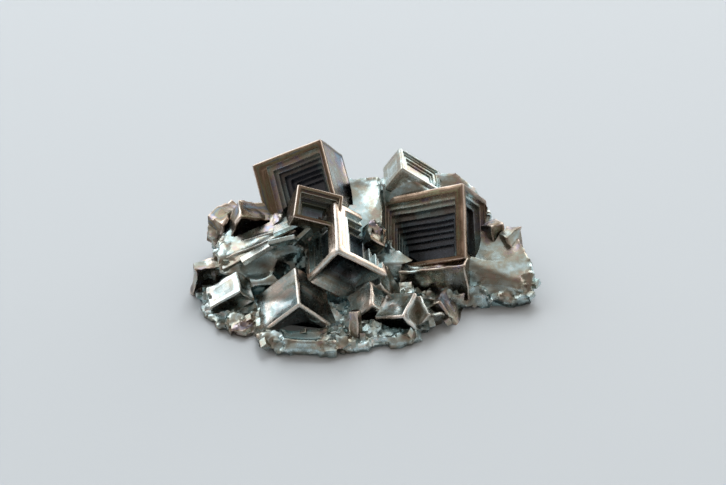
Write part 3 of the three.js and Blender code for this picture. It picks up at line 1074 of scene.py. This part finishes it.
def gap_of(crystal):
    """The part of a crystal that never grew, as a prism along its z edge."""
    ends = (-2 * MOUTH, crystal["size"][2] + 2 * MOUTH)
    corners = np.array([(x, y, z) for x, y in crystal["gap"] for z in ends])
    return hull("gap", moved_by(place_of(crystal), corners))


print("crystals with a gap:", sum("gap" in crystal for crystal in crystals))

# %% [markdown]
# ## Fine crystals
#
# Between the large crystals the metal is crowded with crystals about a millimetre across. They are
# plain small blocks, half sunk in the skin of the slab. A particle system could scatter them, but it
# would not keep them apart, so a loop does it: they avoid the smooth places, never touch each other,
# and lie nearly the way the nearest large crystal does.

# %% Fine crystals on the slab
FINE_COUNT = 110
FINE_SIZE = (0.5, 1.3)
FINE_SHAPE = ((0.6, 1), (0.5, 1))  # shares of the longest edge
FINE_TURN = 9  # degrees away from the nearest large crystal
FINE_LOWEST = 0.2
FINE_ROUGHNESS = 0.6  # of the skin, at least
MOST_TRIES = 6000
BLOCK = [(0, 2, 3, 1), (4, 5, 7, 6), (0, 1, 5, 4), (2, 6, 7, 3), (0, 4, 6, 2), (1, 3, 7, 5)]

chance = series(23)
fine_places = []
points, faces = [], []
tries = 0
while len(fine_places) < FINE_COUNT and tries < MOST_TRIES:
    tries += 1
    spot = moved[int(next(chance) * len(moved))]
    edge = between(chance, *FINE_SIZE)
    neighbour = min(crystals, key=lambda one: (Vector(one["at"]) - spot).length)
    turn = Euler([math.radians(t + between(chance, -FINE_TURN, FINE_TURN)) for t in neighbour["turn"]])
    size = Vector((edge, *[edge * between(chance, *shape) for shape in FINE_SHAPE]))
    reach = size.length / 2
    if spot.z < FINE_LOWEST or roughness_at(spot) < FINE_ROUGHNESS:
        continue
    if any((spot - other).length < reach + room for other, room in fine_places):
        continue
    fine_places.append((spot, reach))
    start = len(points)
    for corner in range(8):
        signs = [1 if corner >> k & 1 else -1 for k in range(3)]
        local = Vector([size[k] / 2 * signs[k] for k in range(3)])
        local.rotate(turn)
        points.append(spot + local)
    faces += [[start + k for k in face] for face in BLOCK]
fine = solid("fine_crystals", points, faces)
print("fine crystals:", len(fine_places))

# %% [markdown]
# ## Growing the cluster
#
# Growth is a stack of Boolean modifiers on the slab: the fine crystals are joined, then for each
# crystal its plug is cut and its skeleton joined, in the order of age. The last cut makes the flat
# underside that the cluster rests on.

# %% Grow
used = [fine]
cut(slab, fine, "UNION")
grown = grains + blades + crystals
chance = series(41)
for piece, crystal in enumerate(grown):
    size = np.array(crystal["size"], float)
    sunk = {}
    for face, pit in crystal["pits"].items():
        axis = "xyz".index(face[0])
        spans = size[[(axis + 1) % 3, (axis + 2) % 3]]
        levels = levels_of(pit, spans, chance)
        if levels:
            sunk[face] = levels
    skeleton = skeleton_of(crystal, sunk, piece)
    if sunk:
        plug = plugs_of(crystal, sunk, piece)
        used.append(plug)
        if "gap" in crystal:
            gap = gap_of(crystal)
            cut(plug, gap)
            cut(skeleton, gap)
            used.append(gap)
        cut(slab, plug)
    cut(slab, skeleton, "UNION")
    used.append(skeleton)

GROUND_REACH = 40  # far wider than the cluster
GROUND_DEPTH = 20
ground = hull(
    "ground",
    [
        (x, y, z)
        for x in (-GROUND_REACH, GROUND_REACH)
        for y in (-GROUND_REACH, GROUND_REACH)
        for z in (-GROUND_DEPTH, 0)
    ],
)
cut(slab, ground)
used.append(ground)
slab.data = settled(slab)
slab.modifiers.clear()
drop(*used)
print("cluster faces:", len(slab.data.polygons))

# %% [markdown]
# ## One piece of metal
#
# Crumbs that hang on to nothing are thrown away: the cluster is the largest connected part. Then the
# mesh is checked to be closed, which means that every edge joins exactly two faces.

# %% Keep what hangs together
with bpy.context.temp_override(active_object=slab, selected_editable_objects=[slab], object=slab):
    bpy.ops.object.select_all(action="DESELECT")
    slab.select_set(True)
    bpy.context.view_layer.objects.active = slab
    bpy.ops.mesh.separate(type="LOOSE")
loose = [o for o in bpy.context.scene.objects if o.type == "MESH" and o.name.startswith(slab.name)]
cluster = max(loose, key=lambda o: len(o.data.polygons))
drop(*[o for o in loose if o != cluster])
cluster.name = "crystal_cluster"
cluster.data.name = "crystal_cluster"
edge_uses = np.zeros(len(cluster.data.edges), int)
edge_of = np.zeros(len(cluster.data.loops), int)
cluster.data.loops.foreach_get("edge_index", edge_of)
np.add.at(edge_uses, edge_of, 1)
print("parts:", len(loose), "open edges:", int((edge_uses != 2).sum()))

# %% [markdown]
# ## Where each scrap of skin lies on its crystal
#
# Growth lines and oxide colours follow each crystal's own faces, and so do the painted shade and
# highlights. So every corner of the mesh gets six things: `own_place`, its place in millimetres along
# its crystal's edges; `depth`, how far it lies below the nearest face; `border`, how far it lies in
# from the nearest edge of that face; `tint`, how thick that crystal's film is; the bronze weight, how
# strongly its rims are stained and how strongly shade is painted in its pits and a highlight along
# its edges; and `crevice`, how far it lies below the metal around it, seen from above, which sets
# where shade is painted into crevices. The slab has its layers instead of edges, lying flat.
# Blender's ambient occlusion node could find the crevices too, but it looks for them again in every
# render, and these numbers are worked out once and stay on the mesh.

# %% The mesh as arrays
mesh = cluster.data
corner_count = len(mesh.loops)
points = np.zeros(len(mesh.vertices) * 3)
mesh.vertices.foreach_get("co", points)
points = points.reshape(-1, 3)
point_of = np.zeros(corner_count, int)
mesh.loops.foreach_get("vertex_index", point_of)
sides_of = np.zeros(len(mesh.polygons), int)
mesh.polygons.foreach_get("loop_total", sides_of)
piece_of = np.zeros(len(mesh.polygons), int)
mesh.attributes["piece"].data.foreach_get("value", piece_of)
corner_piece = np.repeat(piece_of, sides_of)
print("corners:", corner_count)

# %% Places along each crystal's own edges
SLAB_TINT = 0.5
PITTED_BRONZE_AND_SHADE = 0.3  # rim stain and painted shade weight of a crystal with pits that is given none

own_place = points[point_of].copy()
depth = np.zeros(corner_count)
border = np.maximum(own_place[:, 2], 0)
chance = series(67)
tint = np.zeros(corner_count)
bronze_and_shade = np.zeros(corner_count)
for piece, crystal in enumerate(grown):
    shade = crystal.get("tint", next(chance))
    here = corner_piece == piece
    if not here.any():
        continue
    size = np.array(crystal["size"], float)
    local = moved_by(place_of(crystal).inverted(), own_place[here])
    below = np.sort(np.maximum(np.minimum(local, size - local), 0), axis=1)
    own_place[here] = local
    depth[here] = below[:, 0]
    border[here] = below[:, 1]
    tint[here] = shade
    bronze_and_shade[here] = crystal.get("bronze_and_shade", PITTED_BRONZE_AND_SHADE if crystal["pits"] else 0)

on_slab = corner_piece == SLAB
tint[on_slab] = SLAB_TINT
print("deepest pit in mm:", round(float(depth.max()), 2))

# %% Crevices, where shade is painted
AROUND = 1.1  # width in mm of the squares in which the highest metal is looked for
CREVICE_DEPTH = 2  # mm below the metal around, where the painted shade of a crevice is at its darkest
ON_CRYSTALS = 0.4  # share of the effect there

# the highest point in each square, and then the mean of that over the nine squares round it
squares = np.floor(points[:, :2] / AROUND).astype(int)
first = squares.min(0) - 2
squares -= first
highest = np.zeros(squares.max(0) + 3)
np.maximum.at(highest, (squares[:, 0], squares[:, 1]), points[:, 2])
shifts = [(i, j) for i in (-1, 0, 1) for j in (-1, 0, 1)]
highest = np.mean([np.roll(highest, shift, (0, 1)) for shift in shifts], axis=0)
# for each point, a smooth value between the middles of the four squares round it
exact = points[:, :2] / AROUND - first - 0.5
base = np.floor(exact).astype(int)
part = exact - base
around = np.zeros(len(points))
for i, j in ((0, 0), (0, 1), (1, 0), (1, 1)):
    weight = np.abs(1 - i - part[:, 0]) * np.abs(1 - j - part[:, 1])
    around += weight * highest[base[:, 0] + i, base[:, 1] + j]
crevice = np.clip((around - points[:, 2]) / CREVICE_DEPTH, 0, 1)[point_of]
crevice *= np.where(on_slab, 1, ON_CRYSTALS)
print("share of the skin in crevices:", round(float((crevice > 0.5).mean()), 3))

# %% Write them on the mesh
vectors = mesh.attributes.new("own_place", "FLOAT_VECTOR", "CORNER")
vectors.data.foreach_set("vector", own_place.ravel())
# these drive the film colours and also the painted shade and highlights
film_and_shade_inputs = dict(depth=depth, border=border, tint=tint, bronze_and_shade=bronze_and_shade, crevice=crevice)
for name, values in film_and_shade_inputs.items():
    mesh.attributes.new(name, "FLOAT", "CORNER").data.foreach_set("value", values)
print("attributes:", ["own_place", *film_and_shade_inputs])

# %% [markdown]
# ## Nothing is perfectly straight
#
# A last gentle wave runs through the whole cluster: about a tenth of a millimetre over the width of a
# crystal, and less over a terrace. It leaves the flat underside flat. Then the cluster is centred,
# scaled from millimetres to metres, and held inside the CAD box.

# %% Wave, centre and scale
WAVES = [(7, 0.12), (2.2, 0.035)]  # width and height in mm
FULL_WAVE = 1.5  # mm above the floor, where the wave has its whole height
SPARE = 0.999  # share of the CAD box that may be filled
SHARP = math.radians(28)  # two faces that meet at a larger angle keep their edge

for number, point in enumerate(points):
    spot = Vector(point)
    rise = min(1, spot.z / FULL_WAVE)
    move = Vector()
    for width, height in WAVES:
        move += drift(spot / width) * height
    points[number] += (move.x, move.y, move.z * rise)
points = points * MM
cad_low, cad_high = np.array(cad_box[0]), np.array(cad_box[1])
for axis in range(2):
    width = points[:, axis].max() - points[:, axis].min()
    room = SPARE * (cad_high[axis] - cad_low[axis])
    middle = (points[:, axis].max() + points[:, axis].min()) / 2
    scale = min(1, room / width)
    points[:, axis] = (points[:, axis] - middle) * scale + (cad_high[axis] + cad_low[axis]) / 2
points[:, 2] *= min(1, cad_high[2] / points[:, 2].max())
mesh.vertices.foreach_set("co", points.ravel())
mesh.update()
mesh.shade_smooth()
mesh.set_sharp_from_angle(angle=SHARP)
mesh.calc_loop_triangles()
print("cluster triangles:", len(mesh.loop_triangles))

# %% [markdown]
# ## Colours and nodes
#
# Colours are written as the hex values a picture editor shows. Blender works with linear light, so
# one function converts them. A second function adds a shader node, with its settings and its links.
# The sockets of a Math node have no names of their own, so they are given by number, and so are the
# share and the two colours of a Mix node: 0, 6 and 7.

# %% Two helpers for materials
def linear(code):
    parts = [int(code[k : k + 2], 16) / 255 for k in (0, 2, 4)]
    return (*[c / 12.92 if c <= 0.04045 else ((c + 0.055) / 1.055) ** 2.4 for c in parts], 1)


def add(tree, kind, inputs=(), stops=(), **settings):
    """A node of that kind. inputs gives a value, or another node's output, for a socket."""
    made = tree.nodes.new("ShaderNode" + kind)
    for name, value in settings.items():
        setattr(made, name, value)
    if stops:
        ramp = made.color_ramp
        while len(ramp.elements) < len(stops):
            ramp.elements.new(1)
        for element, (position, code) in zip(ramp.elements, stops):
            element.position = position
            element.color = linear(code)
    for name, value in dict(inputs).items():
        if isinstance(value, bpy.types.NodeSocket):
            tree.links.new(value, made.inputs[name])
        else:
            made.inputs[name].default_value = value
    return made


print("a middle grey in linear light:", round(linear("808080")[0], 3))

# %% [markdown]
# ## Oxidised bismuth
#
# The finish is bare metal as it grew from the melt, with an oxide film a few hundred nanometres
# thick. The metal is a mirror that is slightly blurred by growth lines, so almost all that the eye
# sees is a reflection, tinted by the film. Real film colours come from interference. A colour ramp
# over the film's thickness gives a like sequence, and it can be matched by eye.
#
# The thickness is a sum of four things: clouds about 3 mm wide, fine lines along the growth steps,
# specks, and each crystal's own tint.

# %% What the finish reads from the mesh
bismuth = bpy.data.materials.new("oxidised_bismuth")
bismuth.use_nodes = True
tree = bismuth.node_tree
tree.nodes.clear()
own = add(tree, "Attribute", attribute_name="own_place").outputs["Vector"]
# the bronze weight also sets the painted shade in the pits and the painted highlight on the edges
depth_in, border_in, tint_in, bronze_and_shade_in, crevice_in = [
    add(tree, "Attribute", attribute_name=name).outputs["Fac"] for name in film_and_shade_inputs
]
print("attributes read:", len(tree.nodes))

# %% Clouds, specks and growth lines
CLOUD_WIDTH = 3.0  # mm
SPECK_WIDTH = 0.5  # mm
LINE_WIDTH = 0.28  # mm between growth lines; real ones are finer, and would be lost in the render
APART = 60.0  # how far two crystals' patterns lie from each other, for a tint of 0 and of 1
LINE_WAVER = 0.5  # mm that a cloud bends a growth line

apart = add(tree, "Math", {0: tint_in, 1: APART}, operation="MULTIPLY").outputs[0]
cloud = add(
    tree, "TexNoise", {"Vector": own, "W": apart, "Scale": 1 / CLOUD_WIDTH, "Detail": 3.0},
    noise_dimensions="4D",
).outputs["Fac"]
speck = add(
    tree, "TexNoise", {"Vector": own, "W": apart, "Scale": 1 / SPECK_WIDTH, "Detail": 2.0},
    noise_dimensions="4D",
).outputs["Fac"]
waver = add(
    tree, "Math", {0: cloud, 1: LINE_WAVER, 2: border_in}, operation="MULTIPLY_ADD",
).outputs[0]
line_place = add(tree, "Math", {0: waver, 1: apart}, operation="ADD").outputs[0]
lines = add(
    tree, "TexNoise", {"W": line_place, "Scale": 1 / LINE_WIDTH / 2, "Detail": 3.0},
    noise_dimensions="1D",
).outputs["Fac"]
print("nodes so far:", len(tree.nodes))

# %% The film on open skin
CLOUD_SHARE = 1.6
LINE_SHARE = 0.5
TINT_SHARE = 0.5
SPECK_SHARE = 0.4
THINNER = -0.99  # brings the sum back to between 0 and 1

film = add(tree, "Math", {0: cloud, 1: CLOUD_SHARE, 2: THINNER}, operation="MULTIPLY_ADD").outputs[0]
film = add(tree, "Math", {0: lines, 1: LINE_SHARE, 2: film}, operation="MULTIPLY_ADD").outputs[0]
film = add(tree, "Math", {0: tint_in, 1: TINT_SHARE, 2: film}, operation="MULTIPLY_ADD").outputs[0]
film = add(tree, "Math", {0: speck, 1: SPECK_SHARE, 2: film}, operation="MULTIPLY_ADD").outputs[0]
skin_colour = add(
    tree, "ValToRGB", {"Fac": film},
    stops=[
        (0.0, "f4ebe2"),
        (0.2, "e0ddd8"),
        (0.34, "c4d8da"),
        (0.46, "b2bcb8"),
        (0.58, "a8a99c"),
        (0.7, "ab9d8f"),
        (0.82, "9f949d"),
        (1.0, "8da5b6"),
    ],
).outputs["Color"]
print("nodes so far:", len(tree.nodes))

# %% [markdown]
# ## Bronze rims
#
# The flat rims of the large cubes stood out in the air longest and are stained bronze, in lines
# along their edges. The stain covers what lies within a tenth of a millimetre of a crystal's face.

# %% The stain on the rims
RIM_DEPTHS = (0.12, 0.02)  # mm below the face: no stain, and full stain
STAIN_TINT = 0.6
STAIN_LINES = 1.4
STAIN_CLOUD = 0.9
WEAKER = -0.95  # brings the sum back to between 0 and 1

stain = add(
    tree, "Math", {0: tint_in, 1: STAIN_TINT, 2: WEAKER}, operation="MULTIPLY_ADD",
).outputs[0]
stain = add(tree, "Math", {0: lines, 1: STAIN_LINES, 2: stain}, operation="MULTIPLY_ADD").outputs[0]
stain = add(tree, "Math", {0: cloud, 1: STAIN_CLOUD, 2: stain}, operation="MULTIPLY_ADD").outputs[0]
rim_colour = add(
    tree, "ValToRGB", {"Fac": stain},
    stops=[
        (0.0, "e6d5c8"),
        (0.3, "c8ac97"),
        (0.5, "8d7a69"),
        (0.7, "6e5d4e"),
        (0.85, "76745a"),
        (1.0, "606266"),
    ],
).outputs["Color"]
rimness = add(
    tree, "MapRange", {"Value": depth_in, "From Min": RIM_DEPTHS[0], "From Max": RIM_DEPTHS[1]},
).outputs[0]
rimness = add(tree, "Math", {0: rimness, 1: bronze_and_shade_in}, operation="MULTIPLY").outputs[0]
film_shade_and_highlight_colour = add(
    tree, "Mix", {0: rimness, 6: skin_colour, 7: rim_colour}, data_type="RGBA",
).outputs[2]
print("nodes so far:", len(tree.nodes))

# %% [markdown]
# ## Dark pits and crevices, bright edges
#
# Down in the pits the film is thicker. Its colour changes from step to step, brown, blue, pale teal
# and green, and is darker than on the open skin, partly as film colour and partly as painted shade.
# The deepest floors are painted blue-black, which is painted shade. Crevices between the crystals
# get the same dark colours, as painted shade. A pale line painted along each edge is a painted
# highlight.

# %% The film and the painted shade in the pits and crevices
PIT_BANDS = 1.7  # changes of colour for each mm of depth
PIT_CLOUD = 0.5
# blue-black painted shade on the deepest pit floors
FLOOR_SHADE_COLOUR = "585d66"
PIT_DEPTHS = (0.45, 1.7)  # mm below the face: the darker film and painted shade start, and cover all
CREVICE_SHADE = (0.15, 1.0)  # of `crevice`: the painted shade starts, and covers all
FLOOR_SHADE_DEPTHS = (0.9, 2.4)  # mm below the face: the painted blue-black shade starts, and covers all

pit_place = add(
    tree, "Math", {0: depth_in, 1: PIT_BANDS, 2: apart}, operation="MULTIPLY_ADD",
).outputs[0]
pit_bands = add(
    tree, "TexNoise", {"W": pit_place, "Scale": 1.0, "Detail": 1.0}, noise_dimensions="1D",
).outputs["Fac"]
pit_bands = add(
    tree, "Math", {0: cloud, 1: PIT_CLOUD, 2: pit_bands}, operation="MULTIPLY_ADD",
).outputs[0]
# film colours of the steps, kept darker than the skin: partly film, partly painted shade
pit_film_and_shade_colour = add(
    tree, "ValToRGB", {"Fac": pit_bands},
    stops=[(0.45, "6a5d55"), (0.6, "4c5f6a"), (0.72, "86a2a6"), (0.84, "6a5e52"), (1.0, "687c60")],
).outputs["Color"]
pit_film_and_shade = add(
    tree, "MapRange", {"Value": depth_in, "From Min": PIT_DEPTHS[0], "From Max": PIT_DEPTHS[1]},
).outputs[0]
pit_film_and_shade = add(tree, "Math", {0: pit_film_and_shade, 1: bronze_and_shade_in}, operation="MULTIPLY").outputs[0]
# painted shade in the crevices, in the same dark colours as the pits
painted_crevice_shade = add(
    tree, "MapRange", {"Value": crevice_in, "From Min": CREVICE_SHADE[0], "From Max": CREVICE_SHADE[1]},
).outputs[0]
pit_film_and_shade = add(tree, "Math", {0: pit_film_and_shade, 1: painted_crevice_shade}, operation="MAXIMUM").outputs[0]
film_shade_and_highlight_colour = add(
    tree, "Mix", {0: pit_film_and_shade, 6: film_shade_and_highlight_colour, 7: pit_film_and_shade_colour}, data_type="RGBA",
).outputs[2]
# painted shade: the deepest pit floors turn blue-black
painted_floor_shade = add(
    tree, "MapRange", {"Value": depth_in, "From Min": FLOOR_SHADE_DEPTHS[0], "From Max": FLOOR_SHADE_DEPTHS[1]},
).outputs[0]
painted_floor_shade = add(tree, "Math", {0: painted_floor_shade, 1: bronze_and_shade_in}, operation="MULTIPLY").outputs[0]
film_shade_and_highlight_colour = add(
    tree, "Mix", {0: painted_floor_shade, 6: film_shade_and_highlight_colour, 7: linear(FLOOR_SHADE_COLOUR)}, data_type="RGBA",
).outputs[2]
print("nodes so far:", len(tree.nodes))

# %% Painted highlights on the edges
EDGE_HIGHLIGHT_WIDTHS = (0.2, 0.06)  # mm from the edge: no painted highlight, and the full painted highlight
# pale colour of the highlight painted along each edge
EDGE_HIGHLIGHT_COLOUR = "e4d3c6"

# a painted highlight along each edge
painted_edge_highlight = add(
    tree, "MapRange", {"Value": border_in, "From Min": EDGE_HIGHLIGHT_WIDTHS[0], "From Max": EDGE_HIGHLIGHT_WIDTHS[1]},
).outputs[0]
painted_edge_highlight = add(tree, "Math", {0: painted_edge_highlight, 1: bronze_and_shade_in}, operation="MULTIPLY").outputs[0]
film_shade_and_highlight_colour = add(
    tree, "Mix", {0: painted_edge_highlight, 6: film_shade_and_highlight_colour, 7: linear(EDGE_HIGHLIGHT_COLOUR)}, data_type="RGBA",
).outputs[2]
print("nodes so far:", len(tree.nodes))

# %% [markdown]
# ## Metal under the film
#
# Bismuth as it grew is smooth between its growth lines: a metal with a roughness of 0.16 to 0.42,
# changing from speck to speck, and with relief too fine to model, so a Bump node tilts the light.

# %% Relief and metal
SMOOTHEST = 0.16
ROUGHEST = 0.42
RELIEF = 0.02  # mm, of the growth lines and of the specks
RELIEF_STRENGTH = 0.6

rough = add(tree, "MapRange", {"Value": speck, "To Min": SMOOTHEST, "To Max": ROUGHEST}).outputs[0]
line_height = add(tree, "Math", {0: lines, 1: RELIEF}, operation="MULTIPLY").outputs[0]
height = add(
    tree, "Math", {0: speck, 1: RELIEF, 2: line_height}, operation="MULTIPLY_ADD",
).outputs[0]
bump = add(
    tree, "Bump", {"Height": height, "Strength": RELIEF_STRENGTH, "Distance": MM},
).outputs["Normal"]
# the base colour carries the film and the painted shade and highlights
surface = add(
    tree, "BsdfPrincipled",
    {"Base Color": film_shade_and_highlight_colour, "Metallic": 1.0, "Roughness": rough, "Normal": bump},
)
add(tree, "OutputMaterial", {"Surface": surface.outputs["BSDF"]})
mesh.materials.clear()
mesh.materials.append(bismuth)
print("nodes in the finish:", len(tree.nodes))

# %% [markdown]
# ## The cluster stands for the CAD part
#
# The fine skin rides on the part's one body and takes the place of the plain CAD solid.

# %% Hand over to the frame
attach(cluster, "root")
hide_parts("bismuth_cluster")
print("handed over:", cluster.name)

# %% [markdown]
# ## Paper floor
#
# The cluster lies on a large sheet of white paper. Paper is matt, and its fibres are too fine to
# show beside a cluster of this size, so one plain pale colour is enough for it.

# %% Floor
REACH = 3  # metres, far past the edge of the picture
PAPER = "b2b8bc"  # a pale grey, as white would come out too bright under these lights
PAPER_ROUGHNESS = 0.9

floor_mesh = bpy.data.meshes.new("paper")
corners = [(-REACH, -REACH, 0), (REACH, -REACH, 0), (REACH, REACH, 0), (-REACH, REACH, 0)]
floor_mesh.from_pydata(corners, [], [(0, 1, 2, 3)])
floor = bpy.data.objects.new("paper", floor_mesh)
bpy.context.scene.collection.objects.link(floor)
paper = bpy.data.materials.new("white_paper")
paper.use_nodes = True
sheet = paper.node_tree.nodes["Principled BSDF"]
sheet.inputs["Base Color"].default_value = linear(PAPER)
sheet.inputs["Roughness"].default_value = PAPER_ROUGHNESS
floor_mesh.materials.append(paper)
print("paper reaches, in metres:", REACH)

# %% [markdown]
# ## Window light
#
# Polished metal looks like what is around it. One window stands low at the back right and another
# higher at the back left, so that faces turned that way shine. A lamp high behind throws the soft
# shadow forward, and the metal doesn't mirror it: its picture would be a hard white spot.

# %% Windows and lamp
def softbox(name, direction, distance, width, height, power, colour):
    lamp = bpy.data.lights.new(name, "AREA")
    lamp.shape = "RECTANGLE"
    lamp.size, lamp.size_y = width, height
    lamp.energy = power
    lamp.color = linear(colour)[:3]
    made = bpy.data.objects.new(name, lamp)
    bpy.context.scene.collection.objects.link(made)
    made.location = Vector(direction).normalized() * distance
    made.rotation_euler = (-made.location).to_track_quat("-Z", "Y").to_euler()
    return made


softbox(
    "window", direction=(0.66, 0.71, 0.3), distance=0.8, width=0.6, height=0.4,
    power=1.25, colour="fff4e8",
)
softbox(
    "left window", direction=(-0.57, 0.55, 0.62), distance=0.8, width=0.6, height=0.65,
    power=2.6, colour="f2f9ff",
)
high_lamp = softbox(
    "high lamp", direction=(0.12, 0.76, 0.64), distance=1.0, width=0.5, height=0.5,
    power=9.5, colour="fdfdff",
)
high_lamp.visible_glossy = False
print("lamps:", len(bpy.data.lights))

# %% [markdown]
# ## The room
#
# The rest of what the metal mirrors is a room, as a sky of two colour ramps multiplied together. One
# runs from the floor to the ceiling, the other from the front to the back. The front is dim and
# warm, which makes the rims brown and the pits dark, and the back is pale.

# %% Room
GLOW = 2.8
UP_RANGE = (-0.2, 1.0)  # upward part of a direction, at the start and the end of the first ramp
BACK_RANGE = (-0.8, 0.7)  # backward part of it, for the second ramp

room = bpy.data.worlds.new("room")
bpy.context.scene.world = room
room.use_nodes = True
sky = room.node_tree
sky.nodes.clear()
direction = add(sky, "TexCoord").outputs["Generated"]
parts = add(sky, "SeparateXYZ", {"Vector": direction})
up = add(
    sky, "MapRange", {"Value": parts.outputs["Z"], "From Min": UP_RANGE[0], "From Max": UP_RANGE[1]},
)
walls = add(
    sky, "ValToRGB", {"Fac": up.outputs[0]},
    stops=[(0.0, "d6dadc"), (0.3, "d6dadc"), (0.5, "b4b8ba"), (0.72, "8c8984"), (1.0, "b4b6b8")],
).outputs["Color"]
backward = add(
    sky, "MapRange", {"Value": parts.outputs["Y"], "From Min": BACK_RANGE[0], "From Max": BACK_RANGE[1]},
)
front = add(
    sky, "ValToRGB", {"Fac": backward.outputs[0]},
    stops=[(0.0, "8a827e"), (0.5, "ab9f96"), (0.8, "f4f6f6"), (1.0, "ffffff")],
).outputs["Color"]
glow = add(
    sky, "Mix", {0: 1.0, 6: walls, 7: front}, data_type="RGBA", blend_type="MULTIPLY",
).outputs[2]
back = add(sky, "Background", {"Color": glow, "Strength": GLOW})
add(sky, "OutputWorld", {"Surface": back.outputs["Background"]})
bpy.context.scene.view_settings.view_transform = "Standard"
print("nodes in the room:", len(sky.nodes))
